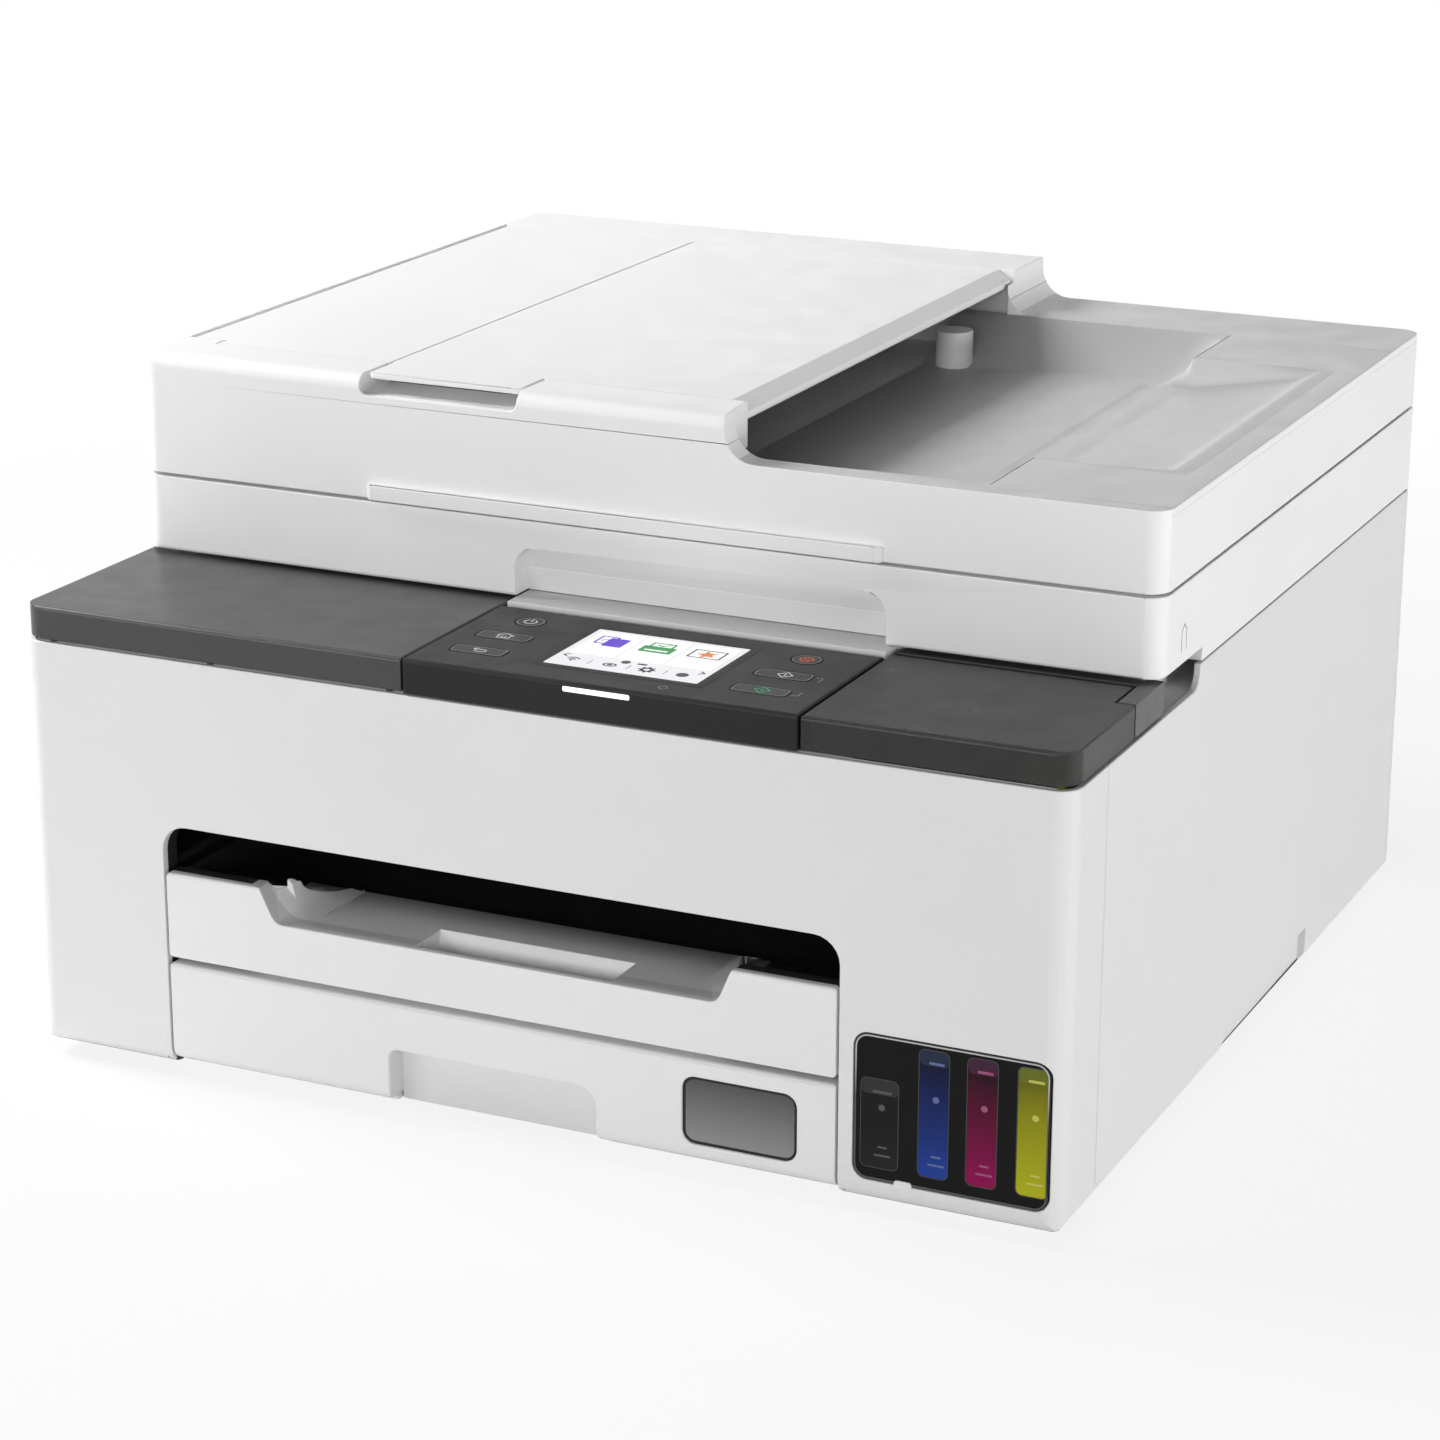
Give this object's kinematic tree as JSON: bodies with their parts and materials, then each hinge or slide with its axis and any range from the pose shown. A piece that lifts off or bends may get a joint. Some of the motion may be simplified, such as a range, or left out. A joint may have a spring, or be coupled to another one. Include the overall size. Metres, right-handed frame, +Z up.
{
  "type": "inkjet printer",
  "caption": "Multifunction inkjet printer: flatbed scanner, top document feeder, tilting touch panel, front paper cassette, output tray and refillable ink tanks",
  "frame": {"origin": "middle of the footprint, on the table under the rubber feet", "axes": "+X to the right seen from the front, +Y to the back, +Z up"},
  "size_m": [0.374, 0.371, 0.232],
  "materials": {
    "white_shell": "fine textured light grey white",
    "inner_plastic": "plain moulded light grey",
    "smoked_cover": "glossy dark grey",
    "black_panel": "glossy black",
    "black_plastic": "matt black",
    "key_plastic": "satin black",
    "screen": "smooth screen",
    "tinted_window": "smoked clear plastic",
    "paper_window": "grey clear plastic",
    "ink_black": "black ink behind a clear wall",
    "ink_color": "coloured ink behind a clear wall",
    "rubber": "plain rubber",
    "steel": "plain sheet steel",
    "board": "circuit board",
    "glass": "flat float glass",
    "white_pad": "white backing sheet"
  },
  "bodies": {
    "body": {"bottom_case": "inner_plastic", "front_cover": "white_shell", "left_side_cover": "white_shell", "right_side_cover": "white_shell", "rear_cover": "white_shell", "upper_case": "white_shell", "rubber_feet": "rubber", "left_top_cover": "smoked_cover", "band_trim": "smoked_cover", "main_frame": "steel", "carriage_shaft": "steel", "platen": "black_plastic", "ink_window": "tinted_window", "black_ink_tank": "ink_black", "color_ink_tanks": "ink_color", "tank_caps": "rubber", "power_supply": "black_plastic", "main_board": "board", "power_inlet": "black_plastic", "maintenance_station": "black_plastic", "motors": "steel", "case_screws": "steel"},
    "ink_cover": {"ink_tank_cover": "smoked_cover"},
    "panel": {"operation_panel": "black_panel", "display": "screen"},
    "power_key": {"power_button": "key_plastic"},
    "home_key": {"home_button": "key_plastic"},
    "back_key": {"back_button": "key_plastic"},
    "stop_key": {"stop_button": "key_plastic"},
    "black_start_key": {"black_start_button": "key_plastic"},
    "color_start_key": {"color_start_button": "key_plastic"},
    "cassette": {"cassette_tray": "inner_plastic", "cassette_front": "white_shell", "cassette_window": "paper_window"},
    "paper_guide_left": {"cassette_guide_left": "black_plastic"},
    "paper_guide_right": {"cassette_guide_right": "black_plastic"},
    "paper_guide_rear": {"cassette_rear_guide": "black_plastic"},
    "output": {"output_tray": "white_shell"},
    "extension": {"output_extension": "inner_plastic"},
    "carriage": {"print_carriage": "black_plastic", "print_head": "black_plastic"},
    "pulley_drive": {"drive_pulley": "steel"},
    "pulley_idler": {"idler_pulley": "steel"},
    "feed": {"feed_roller": "rubber"},
    "eject": {"eject_roller": "rubber"},
    "arm": {"pickup_arm": "black_plastic"},
    "pickup": {"pickup_roller": "rubber"},
    "scan_unit": {"scanner_case": "white_shell", "scanner_glass": "glass"},
    "scan_head": {"scan_carriage": "black_plastic"},
    "cover_posts": {"hinge_posts": "black_plastic"},
    "document_unit": {"document_cover": "white_shell", "platen_pad": "white_pad"},
    "feeder_lid": {"feeder_cover": "white_shell"},
    "input_tray": {"document_tray": "white_shell"},
    "sheet_guide_front": {"document_guide_front": "black_plastic"},
    "sheet_guide_rear": {"document_guide_rear": "black_plastic"},
    "feeder_roller": {"adf_roller": "rubber"},
    "transport": {"transport_cover": "inner_plastic"},
    "cartridge": {"maintenance_cartridge": "black_plastic"}
  },
  "joints": [
    {"name": "ink_cover_hinge", "type": "hinge", "parent": "body", "child": "ink_cover", "pos_m": [0.142, -0.1145, 0.157], "axis": [-1, 0, 0], "range_deg": [0, 90]},
    {"name": "panel_tilt", "type": "hinge", "parent": "body", "child": "panel", "pos_m": [0.028, -0.1195, 0.1573], "axis": [-1, 0, 0], "range_deg": [0, 45]},
    {"name": "power_press", "type": "slide", "parent": "panel", "child": "power_key", "axis": [0, 0, -1], "range_m": [0, 0.0006], "stiffness_N_per_m": 300, "springref_m": -0.001},
    {"name": "home_press", "type": "slide", "parent": "panel", "child": "home_key", "axis": [0, 0, -1], "range_m": [0, 0.0006], "stiffness_N_per_m": 300, "springref_m": -0.001},
    {"name": "back_press", "type": "slide", "parent": "panel", "child": "back_key", "axis": [0, 0, -1], "range_m": [0, 0.0006], "stiffness_N_per_m": 300, "springref_m": -0.001},
    {"name": "stop_press", "type": "slide", "parent": "panel", "child": "stop_key", "axis": [0, 0, -1], "range_m": [0, 0.0006], "stiffness_N_per_m": 300, "springref_m": -0.001},
    {"name": "black_start_press", "type": "slide", "parent": "panel", "child": "black_start_key", "axis": [0, 0, -1], "range_m": [0, 0.0006], "stiffness_N_per_m": 300, "springref_m": -0.001},
    {"name": "color_start_press", "type": "slide", "parent": "panel", "child": "color_start_key", "axis": [0, 0, -1], "range_m": [0, 0.0006], "stiffness_N_per_m": 300, "springref_m": -0.001},
    {"name": "cassette_slide", "type": "slide", "parent": "body", "child": "cassette", "axis": [0, -1, 0], "range_m": [0, 0.25]},
    {"name": "paper_guide_right_slide", "type": "slide", "parent": "cassette", "child": "paper_guide_right", "axis": [-1, 0, 0], "range_m": [0, 0.045]},
    {"name": "paper_guide_left_slide", "type": "slide", "parent": "cassette", "child": "paper_guide_left", "axis": [1, 0, 0], "range_m": [0, 0.045]},
    {"name": "paper_guide_rear_slide", "type": "slide", "parent": "cassette", "child": "paper_guide_rear", "axis": [0, -1, 0], "range_m": [0, 0.085]},
    {"name": "extension_slide", "type": "slide", "parent": "body", "child": "extension", "axis": [0, -1, 0], "range_m": [0, 0.1]},
    {"name": "output_slide", "type": "slide", "parent": "extension", "child": "output", "axis": [0, -1, 0], "range_m": [0, 0.14]},
    {"name": "carriage_travel", "type": "slide", "parent": "body", "child": "carriage", "axis": [-1, 0, 0], "range_m": [0, 0.258]},
    {"name": "drive_pulley_spin", "type": "hinge", "parent": "body", "child": "pulley_drive", "pos_m": [-0.142, 0.0189, 0.126], "axis": [0, 1, 0], "continuous": true},
    {"name": "idler_pulley_spin", "type": "hinge", "parent": "body", "child": "pulley_idler", "pos_m": [0.16, 0.0189, 0.126], "axis": [0, 1, 0], "continuous": true},
    {"name": "feed_spin", "type": "hinge", "parent": "body", "child": "feed", "pos_m": [0, 0.0505, 0.0915], "axis": [1, 0, 0], "continuous": true},
    {"name": "eject_spin", "type": "hinge", "parent": "body", "child": "eject", "pos_m": [0, -0.0635, 0.096], "axis": [1, 0, 0], "continuous": true},
    {"name": "arm_pivot", "type": "hinge", "parent": "body", "child": "arm", "pos_m": [-0.011, 0.0725, 0.054], "axis": [1, 0, 0], "range_deg": [0, 12]},
    {"name": "pickup_spin", "type": "hinge", "parent": "arm", "child": "pickup", "pos_m": [-0.011, 0.1125, 0.0366], "axis": [1, 0, 0], "continuous": true},
    {"name": "scan_unit_lift", "type": "hinge", "parent": "body", "child": "scan_unit", "pos_m": [0, 0.18, 0.1632], "axis": [-1, 0, 0], "range_deg": [0, 32]},
    {"name": "scan_travel", "type": "slide", "parent": "scan_unit", "child": "scan_head", "axis": [1, 0, 0], "range_m": [0, 0.3]},
    {"name": "cover_lift", "type": "slide", "parent": "scan_unit", "child": "cover_posts", "axis": [0, 0, 1], "range_m": [0, 0.012]},
    {"name": "cover_hinge", "type": "hinge", "parent": "cover_posts", "child": "document_unit", "pos_m": [0, 0.18, 0.1951], "axis": [-1, 0, 0], "range_deg": [0, 65]},
    {"name": "feeder_cover_hinge", "type": "hinge", "parent": "document_unit", "child": "feeder_lid", "pos_m": [-0.179, 0.0335, 0.229], "axis": [0, -1, 0], "range_deg": [0, 75]},
    {"name": "input_tray_hinge", "type": "hinge", "parent": "document_unit", "child": "input_tray", "pos_m": [0.0285, 0.0335, 0.2275], "axis": [0, 1, 0], "range_deg": [0, 145]},
    {"name": "sheet_guide_front_slide", "type": "slide", "parent": "input_tray", "child": "sheet_guide_front", "axis": [0, 1, 0], "range_m": [0, 0.07]},
    {"name": "sheet_guide_rear_slide", "type": "slide", "parent": "input_tray", "child": "sheet_guide_rear", "axis": [0, -1, 0], "range_m": [0, 0.07]},
    {"name": "feeder_roller_spin", "type": "hinge", "parent": "document_unit", "child": "feeder_roller", "pos_m": [-0.126, 0.0335, 0.212], "axis": [0, 1, 0], "continuous": true},
    {"name": "transport_cover_slide", "type": "slide", "parent": "body", "child": "transport", "axis": [0, 1, 0], "range_m": [0, 0.04]},
    {"name": "cartridge_slide", "type": "slide", "parent": "body", "child": "cartridge", "axis": [0, 1, 0], "range_m": [0, 0.1]}
  ],
  "couplings": [
    {"joint": "paper_guide_left_slide", "follows": "paper_guide_right_slide", "ratio": 1},
    {"joint": "drive_pulley_spin", "follows": "carriage_travel", "rad_per_m": -166.67},
    {"joint": "idler_pulley_spin", "follows": "carriage_travel", "rad_per_m": -166.67},
    {"joint": "eject_spin", "follows": "feed_spin", "ratio": 2},
    {"joint": "sheet_guide_rear_slide", "follows": "sheet_guide_front_slide", "ratio": 1}
  ]
}
